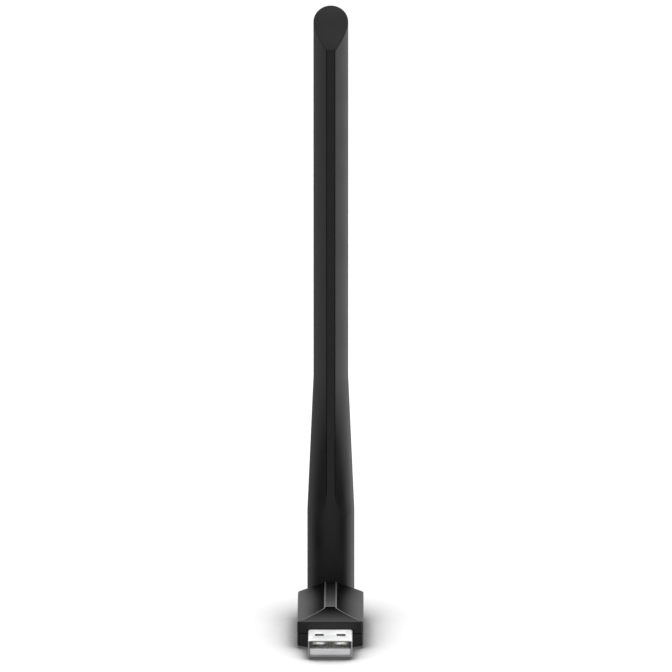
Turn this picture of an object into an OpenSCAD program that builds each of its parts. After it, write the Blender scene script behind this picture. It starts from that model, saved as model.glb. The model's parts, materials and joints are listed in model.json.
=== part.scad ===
// USB wireless network adapter: a short housing with a plug at the front, and at the back a neck
// that swivels and carries a long antenna that tilts.
// Origin: centre of the plug's cross-section, level with the housing's front face.
// +X is right, +Y runs from the plug to the antenna, +Z is up. Millimetres.

/* [USB plug] */
// Outside width of the metal shell
plug_w = 12; // [11.9:0.05:12.1]
// Outside height of the metal shell
plug_h = 4.5; // [4.4:0.05:4.6]
// How far the plug stands out of the housing
plug_reach = 12; // [11.7:0.1:12.5]
// Thickness of the shell's sheet metal
plug_wall = 0.4; // [0.3:0.05:0.45]
// Height of the hollow above the insulator
plug_gap = 1.95; // [1.9:0.05:2]

/* [Housing] */
// Width of the housing
housing_w = 18; // [17.5:0.25:19]
// Length of the housing, front face to rear face
housing_l = 33; // [33:0.5:35]
// Thickness of the housing's walls
wall = 1.2; // [1.1:0.05:1.3]
// Height at which the roof meets the side walls
shoulder_z = 4.25; // [4.2:0.05:4.5]
// Height of the ridge
ridge_z = 7.1; // [7:0.1:7.4]
// Half the width of the ridge's flat top
ridge_flat = 1.15; // [1:0.05:1.3]
// Length of the sloping front of the roof
front_slope_l = 6.2; // [5.5:0.1:7]
// Height of the flat bottom
bottom_z = -3.2; // [-3.4:0.05:-3.2]
// Height at which the bottom meets the side walls
bottom_side_z = -2.35; // [-2.4:0.05:-2.3]
// Half the width of the flat bottom
bottom_flat = 4.2; // [3.8:0.1:4.4]
// Height of the joint between the two housing halves
split_z = 1.16; // [1.1:0.02:1.2]

/* [Swivel and hinge] */
// Height of the swivel's axis, and of the hinge's axis
axis_z = 2.2; // [2.15:0.05:2.2]
// Radius of the neck's barrel
neck_r = 2.8; // [2.7:0.05:2.8]
// Width of the neck's tongue
tongue_w = 5.6; // [5.4:0.1:5.6]
// Radius of the tongue's round end
tongue_r = 3.4; // [3.2:0.1:3.4]
// Radius of the hinge pins
pin_r = 1.2; // [1:0.1:1.3]
// Radial play of the turning fits
play = 0.05; // [0.03:0.01:0.08]

/* [Antenna] */
// Width of the antenna's lower end
base_w = 12.9; // [12.7:0.1:13.2]
// Depth of the antenna's lower end, which is also the diameter of its round bottom
base_d = 10.7; // [10.7:0.1:10.9]
// Width of the antenna's upper part
blade_w = 9.5; // [9.2:0.1:10]
// Depth of the antenna's upper part
blade_d = 10.4; // [10:0.1:10.6]
// Width of the flat stripe down the front of the upper part
stripe_w = 2.3; // [2:0.1:2.6]
// Height at which the lower end starts to narrow
taper_low_z = 25.8; // [24:0.2:28]
// Height at which the narrowing ends
taper_high_z = 63.7; // [60:0.5:70]
// Height of the slanted tip's lowest point, at the front
tip_z = 156.3; // [150:0.5:165]
// Thickness of the antenna's walls
cover_wall = 1.3; // [1.2:0.05:1.35]

/* [Hidden] */
$fn = 64;

far = 60;          // larger than any cut needs to be
eps = 0.01;        // small overlap that keeps joined solids joined
fit_gap = 0.05;    // gap between parts that are pushed or laid together
black = "#232325";
gold = "#c9a24a";
steel = "#c9ccd0";
chip_black = "#1b1b1d";

// Plug
shell_r = 0.55;                          // outside corner radius of the shell
shell_back = 6.75;                       // how far the shell reaches into the housing
inner_w = plug_w - 2 * plug_wall;
inner_h = plug_h - 2 * plug_wall;
tongue_top = inner_h / 2 - plug_gap;     // top of the insulator's tongue
window_x = 2.95;                         // windows in the shell, from the centre line
window_w = 2.45;
window_l = 2;
window_y = -5.8;
tab_y = 3.6;                             // solder tabs at the shell's sides
tab_l = 1.6;
contact_w = 1;
contact_t = 0.2;
contact_tail = 8.7;                      // rear end of the contacts, on the board
contact_x = [-3.5, -1, 1, 3.5];
contact_tip = [-10.8, -9.8, -9.8, -10.8];

// Circuit board
board_top = -0.25;
board_t = 0.8;
board_half = 7.3;
board_front = 6.9;
board_back = 24.3;
board_arm = 2.2;                         // front end of the arms beside the plug
can_w = 10;
can_l = 8.2;
can_h = 1.9;
can_y = 11.2;
can_sheet = 0.2;
can_holes = [[-3.2, 1.6, 3.2], [13.7, 1.6, 16.9]];  // first, step and last, in X and Y
tooling_hole = [5.2, 22.9];
chip_at = [0, 15.1];                     // centres and sizes of the parts on the board
chip_size = [5, 5, 0.85];
crystal_at = [3.8, 12.8];
crystal_size = [1.6, 2, 0.6];
inductor_at = [-6.1, 18.6];
inductor_size = [1.6, 2, 1.2];
regulator_at = [6.05, 14.65];
regulator_size = [1.4, 2.9, 1];
capacitor_size = [1.6, 0.8, 0.8];
small_chip = [1, 0.5, 0.5];
resistor_size = [1, 0.5, 0.35];

// Housing
half_w = housing_w / 2;
ridge_half = ridge_flat + 0.5;           // outer edge of the ridge's bevel
ridge_drop = 0.25;                       // height of that bevel
roof_slope = (ridge_z - ridge_drop - shoulder_z) / (half_w - ridge_half);
front_slope = (ridge_z - shoulder_z) / front_slope_l;
belly_slope = (bottom_side_z - bottom_z) / (half_w - bottom_flat);
corner = 0.5;                            // bevel of the upright corners
front_draft = 0.12;                      // how far the front face leans back below the joint
seam = 0.16;                             // groove along the joint between the halves
front_wall = 1.5;
bearing_y = 27.45;                       // front of the neck's rear bearing
rib_y = 25.2;                            // rib in front of the neck's flange
rib_t = 1.15;
bearing_half = 4.4;
lip_y = 3;
lip_l = 21;
lip_top = split_z + 0.84;
post_x = 6.5;
post_r = 0.6;
post_h = 4.5;                            // reaches into the roof
post_y = [10, 22.6];

// Neck and hinge
bore_r = neck_r + play + 0.01;
neck_front = 24.9;
flange_r = 3.35;
flange_y = 26.4;
flange_t = 1;
key_w = 1.2;                             // key that stops the swivel a quarter turn each way
key_r = 3.9;
stop_z = axis_z + key_w / 2 + fit_gap;
ring_y = 29.4;
ring_l = 0.9;
ring_depth = 0.5;
antenna_y = housing_l + 0.4;             // front of the antenna
hinge_y = antenna_y + base_d / 2;
slot_half = tongue_w / 2 + 0.45;
slot_r = tongue_r + 0.3;
stop_gap = 0.06;
pin_in = 0.95;                           // inner and outer ends of a hinge pin
pin_out = 5.25;
cap_r = 1.9;
cap_out = 6.05;
washer_r = 3;
coax_r = 0.6;
core_r = 0.25;
coax_bore = 0.8;
coax_bend = 1.25;                        // radius of the cable's bends
coax_y = 20.6;                           // where the cable stands on the board

// Antenna
base_flat = 4.9;                         // flat front of the lower end
flare_z = 33;                            // height at which the stripe starts to widen
base_round = 2.8;                        // fullness of the front's curve, low and high
blade_round = 1.6;
widest = 6.7;                            // depth of the widest line, where the covers meet
cover_split = antenna_y + widest;
cavity_low = 7.2;
cavity_high = tip_z - 2;
aerial_half = 2.6;
aerial_t = 0.8;
aerial_low = 40;
aerial_high = 150;
aerial_front = cover_split - aerial_t / 2;
trace_t = 0.06;
rib_z = [72, 96, 120, 144];
rib_h = 1.2;

// A point list mirrored to the other side of the X axis, without its last point
function mirrored(points) = [for (i = [len(points) - 2:-1:0]) [-points[i][0], points[i][1]]];

// A bar along Y with rounded long edges, centred on the Y axis
module rounded_bar(w, h, r, from_y, to_y) {
    translate([0, to_y, 0]) rotate([90, 0, 0]) linear_extrude(to_y - from_y) {
        square([w - 2 * r, h], center = true);
        square([w, h - 2 * r], center = true);
        for (x = [-1, 1], z = [-1, 1])
            translate([x * (w / 2 - r), z * (h / 2 - r)]) circle(r);
    }
}

// A box given by its two opposite corners
module block(low, high) {
    translate(low) cube(high - low);
}

// A cylinder along Y, and one along X, both at the height of the axes
module y_rod(r, from_y, to_y) {
    translate([0, to_y, axis_z]) rotate([90, 0, 0]) cylinder(r = r, h = to_y - from_y);
}

module x_rod(r, from_x, to_x) {
    translate([from_x, hinge_y, axis_z]) rotate([0, 90, 0]) cylinder(r = r, h = to_x - from_x);
}

// A bend of a round cable in the YZ plane, about a centre, from one angle through a sweep
module cable_bend(y, z, bend_r, from_angle, sweep) {
    translate([0, y, z]) rotate([90, 0, 90]) rotate([0, 0, from_angle])
        rotate_extrude(angle = sweep) translate([bend_r, 0]) circle(coax_r);
}

// ---- housing ----

// Half of the housing's outline from the front, moved inwards by t
function outline(t) = let (
    x = half_w - t,
    roof = shoulder_z + t * roof_slope - t * sqrt(1 + roof_slope * roof_slope),
    belly = bottom_side_z - t * belly_slope + t * sqrt(1 + belly_slope * belly_slope)
) [
    [bottom_flat, bottom_z + t], [x, belly], [x, roof],
    [ridge_half, ridge_z - ridge_drop - t], [ridge_flat, ridge_z - t], [0, ridge_z - t]
];

// The housing's outer shape, moved inwards by t and with its ends at from_y and to_y
module housing_shape(t, from_y, to_y) {
    slope_t = t * sqrt(1 + front_slope * front_slope);
    intersection() {
        translate([0, housing_l, 0]) rotate([90, 0, 0]) linear_extrude(housing_l)
            polygon(concat(outline(t), mirrored(outline(t))));
        translate([-half_w, 0, 0]) rotate([90, 0, 90]) linear_extrude(housing_w)
            polygon([
                [from_y + front_draft, bottom_z], [to_y, bottom_z], [to_y, ridge_z],
                [front_slope_l, ridge_z - slope_t], [from_y, shoulder_z + from_y * front_slope - slope_t],
                [from_y, split_z]
            ]);
        linear_extrude(far, center = true) polygon([
            [corner - half_w, from_y], [half_w - corner, from_y], [half_w, from_y + corner],
            [half_w, to_y - corner], [half_w - corner, to_y], [corner - half_w, to_y],
            [-half_w, to_y - corner], [-half_w, from_y + corner]
        ]);
    }
}

// The housing's walls with the bearing blocks, before it is parted
module housing_walls() {
    difference() {
        housing_shape(0, 0, housing_l);
        housing_shape(wall, front_wall, housing_l - wall);
    }
    intersection() {
        housing_shape(wall / 2, wall / 2, housing_l - wall / 2);
        for (y = [[rib_y, rib_y + rib_t], [bearing_y, housing_l]])
            block([-bearing_half, y[0], bottom_z], [bearing_half, y[1], ridge_z]);
    }
}

// Everything that is cut from both halves: the neck's bore, the plug's opening and the seam
module housing_cuts() {
    y_rod(bore_r, rib_y - 1, housing_l + 1);
    rounded_bar(plug_w + 2 * fit_gap, plug_h + 2 * fit_gap, shell_r, -1, shell_back + 0.4);
    difference() {
        block([-half_w - 1, -1, split_z - seam / 2], [half_w + 1, housing_l + 1, split_z + seam / 2]);
        housing_shape(seam, seam, housing_l - seam);
    }
}

module upper_housing() {
    color(black) {
        difference() {
            union() {
                housing_walls();
                // stops for the neck's key
                intersection() {
                    housing_shape(wall / 2, 0, housing_l);
                    for (side = [-1, 1]) translate([side * (bearing_half + 3.5) / 2, 0, 0])
                        block([-0.45, rib_y + eps, stop_z], [0.45, bearing_y + eps, ridge_z]);
                }
            }
            housing_cuts();
            // the neck drops in from below
            block([-bore_r, rib_y - 1, split_z - 1], [bore_r, housing_l + 1, axis_z]);
            block([-far, -far, -far], [far, far, split_z]);
        }
        // posts that hold the board down
        for (side = [-1, 1], y = post_y)
            translate([side * post_x, y, board_top + fit_gap]) cylinder(r = post_r, h = post_h);
    }
}

module lower_housing() {
    color(black) {
        difference() {
            housing_walls();
            housing_cuts();
            block([-far, -far, split_z], [far, far, far]);
        }
        for (side = [-1, 1]) mirror([side > 0 ? 0 : 1, 0, 0]) {
            // rail that the board lies on
            block([5.9, 8, bottom_side_z - 0.1], [6.9, 23, board_top - board_t]);
            // lip that locates the upper half
            block([half_w - wall - 0.55, lip_y, 0.2], [half_w - wall + 0.1, lip_y + lip_l, split_z - seam]);
            block([half_w - wall - 0.55, lip_y, 0.2], [half_w - wall - fit_gap, lip_y + lip_l, lip_top]);
        }
    }
}

// ---- plug ----

module usb_shell() {
    color(steel) {
        difference() {
            rounded_bar(plug_w, plug_h, shell_r, -plug_reach, shell_back);
            rounded_bar(inner_w, inner_h, shell_r - plug_wall + 0.1, -plug_reach - 1, shell_back + 1);
            for (side = [-1, 1]) translate([side * window_x, window_y, 0])
                cube([window_w, window_l, 2 * plug_h], center = true);
        }
        for (side = [-1, 1]) translate([side * (plug_w / 2 + 0.4), tab_y + tab_l / 2, board_top + 0.15])
            cube([1.2, tab_l, 0.3], center = true);
    }
}

module usb_insulator() {
    color("#d7d9da") difference() {
        union() {
            block([fit_gap - inner_w / 2, 0.4 - plug_reach, fit_gap - inner_h / 2],
                  [inner_w / 2 - fit_gap, shell_back - 0.15, tongue_top]);
            block([fit_gap - inner_w / 2, 0.5, fit_gap - inner_h / 2],
                  [inner_w / 2 - fit_gap, shell_back - 0.15, inner_h / 2 - fit_gap]);
        }
        for (i = [0:3])
            block([contact_x[i] - contact_w / 2 - fit_gap, contact_tip[i] - 0.1, board_top - eps],
                  [contact_x[i] + contact_w / 2 + fit_gap, shell_back, board_top + contact_t + 0.02]);
        // rounded corners that clear the shell's own
        for (side = [-1, 1], top = [-1, 1])
            translate([side * inner_w / 2, 0, top * inner_h / 2]) rotate([0, 45, 0])
                cube([0.3, 4 * plug_reach, 0.3], center = true);
    }
}

// One spring contact: a flat strip from the mouth of the plug to its tail on the board
module contact(i) {
    color(gold) difference() {
        block([contact_x[i] - contact_w / 2, contact_tip[i], board_top],
              [contact_x[i] + contact_w / 2, contact_tail, board_top + contact_t]);
        // chamfered front end
        translate([contact_x[i], contact_tip[i], board_top + contact_t]) rotate([45, 0, 0])
            cube([2 * contact_w, 0.15, 0.15], center = true);
    }
}

module power_contact() contact(0);
module data_minus_contact() contact(1);
module data_plus_contact() contact(2);
module ground_contact() contact(3);

// ---- circuit board ----

module circuit_board() {
    color("#1f5a3c") difference() {
        block([-board_half, board_arm, board_top - board_t], [board_half, board_back, board_top]);
        block([-plug_w / 2 - 0.1, board_arm - 1, -far], [plug_w / 2 + 0.1, board_front, far]);
        for (side = [-1, 1]) translate([side * tooling_hole[0], tooling_hole[1], -5])
            cylinder(r = 0.5, h = 10);
    }
}

// A block on the board, given by its centre, its size and how far it stands off
module on_board(at, size, lift = 0) {
    translate([at[0] - size[0] / 2, at[1] - size[1] / 2, board_top + lift]) cube(size);
}

module wifi_chip() {
    color(chip_black) difference() {
        on_board(chip_at, chip_size);
        // dimple that marks the first pin
        translate([chip_at[0] - 1.9, chip_at[1] - 1.9, board_top + chip_size[2] - 0.05])
            cylinder(r = 0.3, h = 1);
    }
}

module shield_can() {
    color(steel) difference() {
        block([-can_w / 2, can_y, board_top], [can_w / 2, can_y + can_l, board_top + can_h]);
        block([can_sheet - can_w / 2, can_y + can_sheet, board_top - 1],
              [can_w / 2 - can_sheet, can_y + can_l - can_sheet, board_top + can_h - can_sheet]);
        for (x = [can_holes[0][0]:can_holes[0][1]:can_holes[0][2]],
             y = [can_holes[1][0]:can_holes[1][1]:can_holes[1][2]])
            translate([x, y, board_top + can_h - 1]) cylinder(r = 0.3, h = 2);
        // mouse holes along the foot
        for (x = [-3, 0, 3]) translate([x, can_y + can_l / 2, board_top])
            cube([0.8, 2 * can_l, 0.8], center = true);
    }
}

module crystal() {
    lid = crystal_size - [0.2, 0.2, 0.3 - eps];
    color(steel) {
        on_board(crystal_at, [crystal_size[0], crystal_size[1], crystal_size[2] / 2]);
        on_board(crystal_at, lid, crystal_size[2] - lid[2]);
    }
}

module power_inductor() {
    flange = 0.25;
    color("#3a3a3c") {
        on_board(inductor_at, [inductor_size[0], inductor_size[1], flange]);
        on_board(inductor_at, [inductor_size[0], inductor_size[1], flange - 0.05],
                 inductor_size[2] - flange + 0.05);
        translate([inductor_at[0], inductor_at[1], board_top + flange - 0.05])
            cylinder(r = 0.65, h = inductor_size[2] - 2 * flange + 0.2);
    }
}

module voltage_regulator() {
    leg = [0.2, 0.4, 0.5];
    color(chip_black) {
        on_board(regulator_at, regulator_size, 0.1);
        for (i = [-1:1])
            on_board([regulator_at[0] - regulator_size[0] / 2 - 0.05, regulator_at[1] + 1.15 * i], leg);
    }
}

// One chip part with metal ends
module chip_part(x, y, size) {
    translate([x, y, board_top]) {
        translate([-size[0] / 2, -size[1] / 2, 0]) cube(size);
        for (end = [-1, 1]) translate([end * size[0] * 0.4, 0, size[2] / 2])
            cube([size[0] * 0.28, size[1] + 0.06, size[2] - 2 * eps], center = true);
    }
}

module capacitors() {
    color("#b08f62") {
        for (x = [-5, -2.6, 2.6, 5]) chip_part(x, 9.6, capacitor_size);
        for (x = [-3.9, 3.9]) chip_part(x, 21, small_chip);
    }
}

module resistors() {
    color("#26262a") {
        for (x = [-2.4, 2.4], y = [20.4, 21.6]) chip_part(x, y, resistor_size);
        for (x = [-0.7, 0.7]) chip_part(x, 10.4, resistor_size);
    }
}

// ---- antenna cable, in three pieces that meet at the swivel and at the hinge ----

module coax_in_housing() {
    bend_y = coax_y + coax_bend;
    bend_z = axis_z - coax_bend;
    color("#2c2c2e") {
        y_rod(coax_r, bend_y, neck_front - fit_gap);
        cable_bend(bend_y, bend_z, coax_bend, 90, 90);
        // stripped end that stands on the board
        translate([0, coax_y, bend_z - coax_r]) cylinder(r = coax_r, h = coax_r);
        translate([0, coax_y, board_top]) cylinder(r = core_r, h = bend_z - coax_r - board_top);
    }
}

module coax_in_neck() {
    color("#2c2c2e") {
        y_rod(coax_r, neck_front, hinge_y - coax_bend);
        cable_bend(hinge_y - coax_bend, axis_z + coax_bend, coax_bend, -90, 90);
        translate([0, hinge_y, axis_z + coax_bend]) cylinder(r = coax_r, h = tongue_r - coax_bend - 0.1);
    }
}

module coax_in_antenna() {
    color("#2c2c2e") translate([0, hinge_y, 0]) {
        translate([0, 0, axis_z + slot_r + 0.25]) cylinder(r = coax_r, h = 36);
        translate([0, 0, axis_z + slot_r + 36]) cylinder(r = core_r, h = 2);
    }
}

// ---- neck ----

module swivel_neck() {
    color(black) difference() {
        union() {
            y_rod(neck_r, neck_front, hinge_y);
            y_rod(flange_r, flange_y, flange_y + flange_t);
            block([-key_w / 2, flange_y, axis_z - key_r], [key_w / 2, flange_y + flange_t, axis_z - neck_r]);
            x_rod(tongue_r, -tongue_w / 2, tongue_w / 2);
        }
        // groove for the friction ring
        difference() {
            y_rod(2 * neck_r, ring_y, ring_y + ring_l);
            y_rod(neck_r - ring_depth, ring_y - 1, ring_y + ring_l + 1);
        }
        y_rod(coax_bore, neck_front - 1, hinge_y);
        // the cable's room to swing from upright to straight back
        block([-coax_bore, hinge_y - 1.4, axis_z - coax_bore], [coax_bore, far, far]);
        for (side = [-1, 1]) x_rod(pin_r + play, side > 0 ? 0 : -tongue_w, side > 0 ? tongue_w : 0);
    }
}

module swivel_friction_ring() {
    color("#1c1c1c") difference() {
        y_rod(bore_r - 0.02, ring_y + 0.02, ring_y + ring_l - 0.02);
        y_rod(neck_r - ring_depth + 0.02, ring_y - 1, ring_y + ring_l + 1);
    }
}

// ---- antenna ----

// Half of the antenna's cross-section: a flat front, a curve out to the widest line and a round
// back, moved inwards by t. Fullness above 1 makes the front's curve bulge.
function section(w, flat, d, fullness, t) = let (half = w / 2 - t, edge = flat / 2 - t / 3, steps = 12) concat(
    [for (i = [0:steps]) let (u = i / steps)
        [edge + (half - edge) * (1 - pow(1 - u, fullness)), t + (widest - t) * u]],
    [for (i = [1:steps]) let (a = 90 * i / steps)
        [half * cos(a), widest + (d - t - widest) * sin(a)]]
);

module section_at(w, flat, d, fullness, t) {
    translate([0, antenna_y, 0]) polygon(concat(section(w, flat, d, fullness, t),
                                                mirrored(section(w, flat, d, fullness, t))));
}

// Width of the antenna at a height within the taper
function taper_w(z) = base_w + (blade_w - base_w) * (z - taper_low_z) / (taper_high_z - taper_low_z);
function taper_d(z) = base_d + (blade_d - base_d) * (z - taper_low_z) / (taper_high_z - taper_low_z);

module slice(z, w, flat, d, fullness, t) {
    translate([0, 0, z]) linear_extrude(eps) section_at(w, flat, d, fullness, t);
}

// The antenna's outer shape, moved inwards by t, from low_z to high_z
module antenna_shape(t, low_z, high_z) {
    flare_w = taper_w(flare_z);
    flare_d = taper_d(flare_z);
    flare_round = (base_round + blade_round) / 2;
    translate([0, 0, low_z]) linear_extrude(taper_low_z - low_z + eps)
        section_at(base_w, base_flat, base_d, base_round, t);
    hull() {
        slice(taper_low_z, base_w, base_flat, base_d, base_round, t);
        slice(flare_z, flare_w, stripe_w, flare_d, flare_round, t);
    }
    hull() {
        slice(flare_z, flare_w, stripe_w, flare_d, flare_round, t);
        slice(taper_high_z, blade_w, stripe_w, blade_d, blade_round, t);
    }
    translate([0, 0, taper_high_z]) linear_extrude(high_z - taper_high_z)
        section_at(blade_w, stripe_w, blade_d, blade_round, t);
}

// The antenna's walls before the covers are parted
module antenna_walls() {
    difference() {
        antenna_shape(0, axis_z - base_d / 2, tip_z + blade_d);
        antenna_shape(cover_wall, cavity_low, cavity_high);
        // round bottom end
        difference() {
            block([-far, antenna_y - 1, -far], [far, antenna_y + base_d + 1, axis_z]);
            x_rod(base_d / 2, -2 * far, 2 * far);
        }
        // slanted tip
        translate([0, antenna_y, tip_z]) rotate([45, 0, 0]) block([-far, -far, 0], [far, far, far]);
        // slot for the neck: open to the front and below, closed above and behind as stops
        x_rod(slot_r, -slot_half, slot_half);
        block([-slot_half, 0, -far], [slot_half, hinge_y, axis_z + neck_r + stop_gap]);
        block([-slot_half, 0, -far], [slot_half, hinge_y + neck_r + stop_gap, axis_z]);
        // way for the cable into the hollow
        block([-coax_bore, hinge_y - coax_bore, axis_z], [coax_bore, cover_split, cavity_low + 1]);
        for (side = [-1, 1]) {
            x_rod(pin_r + 0.02, side > 0 ? 0 : -far, side > 0 ? far : 0);
            x_rod(cap_r + 0.03, side > 0 ? pin_out : -far, side > 0 ? far : -pin_out);
        }
    }
}

// Ribs across the upper part's hollow that hold the aerial's board, between two depths
module board_ribs(from_y, to_y) {
    intersection() {
        for (z = rib_z) block([-aerial_half, from_y, z], [aerial_half, to_y, z + rib_h]);
        translate([0, 0, taper_high_z]) linear_extrude(tip_z - taper_high_z)
            section_at(blade_w, stripe_w, blade_d, blade_round, cover_wall / 2);
    }
}

module antenna_front_cover() {
    color(black) {
        difference() {
            antenna_walls();
            block([-far, cover_split, -far], [far, far + cover_split, 4 * far]);
        }
        board_ribs(antenna_y, aerial_front - trace_t - fit_gap);
    }
}

module antenna_rear_cover() {
    color(black) {
        difference() {
            antenna_walls();
            block([-far, -far, -far], [far, cover_split, 4 * far]);
        }
        board_ribs(aerial_front + aerial_t + fit_gap, antenna_y + blade_d);
    }
}

module hinge_pin(side) {
    color(steel) x_rod(pin_r, side > 0 ? pin_in : -pin_out, side > 0 ? pin_out : -pin_in);
}

module hinge_cap(side) {
    color(black) difference() {
        x_rod(cap_r, side > 0 ? pin_out + fit_gap : -cap_out, side > 0 ? cap_out : -pin_out - fit_gap);
        // shallow dish in the outer face
        x_rod(cap_r - 0.45, side > 0 ? cap_out - 0.15 : -far, side > 0 ? far : 0.15 - cap_out);
    }
}

module friction_washer(side) {
    inner_x = tongue_w / 2 + 0.03;
    outer_x = slot_half - 0.03;
    color("#d8d3c4") difference() {
        x_rod(washer_r, side > 0 ? inner_x : -outer_x, side > 0 ? outer_x : -inner_x);
        x_rod(pin_r + 0.02, -far, far);
    }
}

module hinge_pin_left() hinge_pin(-1);
module hinge_pin_right() hinge_pin(1);
module hinge_cap_left() hinge_cap(-1);
module hinge_cap_right() hinge_cap(1);
module friction_washer_left() friction_washer(-1);
module friction_washer_right() friction_washer(1);

module antenna_board() {
    color("#c7b98a") block([-aerial_half, aerial_front, aerial_low],
                           [aerial_half, aerial_front + aerial_t, aerial_high]);
}

// A flat copper strip on the front of the aerial's board
module trace(from_x, to_x, from_z, to_z) {
    block([from_x, aerial_front - trace_t, from_z], [to_x, aerial_front, to_z]);
}

module copper_traces() {
    pitch = 1.6;
    arm = 1.9;
    color("#b87748") {
        // sleeve arms each side of the feed
        for (side = [-1, 1]) mirror([side > 0 ? 0 : 1, 0, 0]) trace(1.1, 2.1, 45, 73);
        trace(-2.1, 2.1, 44, 45.05);
        trace(-0.35, 0.35, 46.5, 76.05);
        trace(-0.9, 0.9, 76, 100);
        // meander between the two radiating strips
        for (i = [0:3]) {
            z = 100 + i * pitch;
            trace(-arm, arm, z, z + 0.5);
            trace(i % 2 == 0 ? arm - 0.5 : -arm, i % 2 == 0 ? arm : 0.5 - arm, z, z + pitch + 0.1);
        }
        trace(-arm, 0.9, 100 + 4 * pitch, 100 + 4 * pitch + 0.5);
        trace(-0.9, 0.9, 100 + 4 * pitch, 146);
    }
}

upper_housing();
lower_housing();
usb_shell();
usb_insulator();
power_contact();
data_minus_contact();
data_plus_contact();
ground_contact();
circuit_board();
wifi_chip();
shield_can();
crystal();
power_inductor();
voltage_regulator();
capacitors();
resistors();
coax_in_housing();
swivel_neck();
swivel_friction_ring();
coax_in_neck();
antenna_front_cover();
antenna_rear_cover();
hinge_pin_left();
hinge_pin_right();
hinge_cap_left();
hinge_cap_right();
friction_washer_left();
friction_washer_right();
antenna_board();
copper_traces();
coax_in_antenna();
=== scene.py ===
import json
import math

import bmesh
import bpy
import numpy as np
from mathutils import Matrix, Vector


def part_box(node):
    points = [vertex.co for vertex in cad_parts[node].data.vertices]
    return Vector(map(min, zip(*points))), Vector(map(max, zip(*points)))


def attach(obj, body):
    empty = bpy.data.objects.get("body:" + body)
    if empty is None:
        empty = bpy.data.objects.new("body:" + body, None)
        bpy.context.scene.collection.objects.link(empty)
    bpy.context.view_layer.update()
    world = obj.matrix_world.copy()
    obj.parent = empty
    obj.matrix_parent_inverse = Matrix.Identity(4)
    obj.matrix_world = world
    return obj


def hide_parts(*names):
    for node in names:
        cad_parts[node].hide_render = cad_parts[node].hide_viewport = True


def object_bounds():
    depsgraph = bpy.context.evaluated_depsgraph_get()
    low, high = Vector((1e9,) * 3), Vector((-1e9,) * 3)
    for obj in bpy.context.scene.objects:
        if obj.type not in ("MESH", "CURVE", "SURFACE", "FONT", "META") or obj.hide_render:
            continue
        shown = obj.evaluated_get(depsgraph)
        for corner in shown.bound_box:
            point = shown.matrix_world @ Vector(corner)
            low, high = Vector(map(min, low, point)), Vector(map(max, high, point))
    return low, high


print("loading the frame")
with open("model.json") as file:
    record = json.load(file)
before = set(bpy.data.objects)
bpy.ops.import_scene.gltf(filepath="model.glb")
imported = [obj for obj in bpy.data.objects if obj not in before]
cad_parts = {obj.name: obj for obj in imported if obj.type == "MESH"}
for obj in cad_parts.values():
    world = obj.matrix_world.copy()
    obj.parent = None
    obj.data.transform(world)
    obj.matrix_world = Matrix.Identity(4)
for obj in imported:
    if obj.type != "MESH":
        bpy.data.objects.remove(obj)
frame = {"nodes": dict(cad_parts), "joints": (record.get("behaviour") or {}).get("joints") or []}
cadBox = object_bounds()
mm = 0.001
joints = {joint["name"]: joint for joint in frame["joints"]}
hingeY, axisZ = joints["antenna_tilt"]["pos_m"][1:]


# ---------- mesh tools

def loopQuads(rows, columns, closedRows=False):
    # quads between neighbouring rings of a grid whose columns close on themselves
    row = np.arange(rows if closedRows else rows - 1)[:, None]
    column = np.arange(columns)[None, :]
    nextRow, nextColumn = (row + 1) % rows, (column + 1) % columns
    corners = [row * columns + column, row * columns + nextColumn,
               nextRow * columns + nextColumn, nextRow * columns + column]
    return np.stack(corners, -1).reshape(-1, 4)


def ladderCap(ring, half):
    # closes a ring that is the same on both sides, with rungs straight across it:
    # the ring runs up one side as 0..half and down the other to its start
    rung = np.arange(1, half - 1)
    count = len(ring)
    quads = np.stack([ring[rung], ring[rung + 1], ring[count - rung - 1], ring[count - rung]], -1)
    ends = [[ring[0], ring[1], ring[count - 1]], [ring[half - 1], ring[half], ring[half + 1]]]
    return quads.tolist() + [[int(i) for i in end] for end in ends]


def flipped(faces):
    return [list(reversed(face)) for face in faces]


def makeObject(name, points, faces):
    # one object at the origin from an array of points and a list of faces
    mesh = bpy.data.meshes.new(name)
    mesh.from_pydata(np.asarray(points).reshape(-1, 3).tolist(), [], faces)
    mesh.update()
    piece = bpy.data.objects.new(name, mesh)
    bpy.context.scene.collection.objects.link(piece)
    return piece


def boxPoints(low, high):
    # corners of a box, and its faces turned outwards
    corners = [(x, y, z) for z in (low[2], high[2]) for y in (low[1], high[1]) for x in (low[0], high[0])]
    faces = [[0, 2, 3, 1], [4, 5, 7, 6], [0, 1, 5, 4], [2, 6, 7, 3], [0, 4, 6, 2], [1, 3, 7, 5]]
    return np.array(corners), faces


def makeBox(name, low, high):
    return makeObject(name, *boxPoints(low, high))


def makeTurned(name, profile, origin, axis, steps=64):
    # turned shape: a closed profile of (radius, place along the axis) carried once round the axis
    profile = np.array(profile, float)
    angle = np.linspace(0, 2 * np.pi, steps, endpoint=False)[None, :]
    radius, along = profile[:, :1], profile[:, 1:]
    ones = np.ones_like(angle)
    flat = {"x": (along * ones, radius * np.cos(angle), radius * np.sin(angle)),
            "y": (radius * np.sin(angle), along * ones, radius * np.cos(angle))}[axis]
    points = np.stack(flat, -1) + np.array(origin)
    faces = loopQuads(len(profile), steps).tolist()
    last = (len(profile) - 1) * steps
    faces += [list(range(steps - 1, -1, -1)), list(range(last, last + steps))]
    return makeObject(name, points, faces)


def cut(piece, cutter, operation="DIFFERENCE"):
    # joins or cuts two closed shapes and leaves the result in the first
    step = piece.modifiers.new("cut", "BOOLEAN")
    step.operation, step.solver, step.object = operation, "MANIFOLD", cutter
    applyAll(piece)
    bpy.data.objects.remove(cutter)


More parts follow.
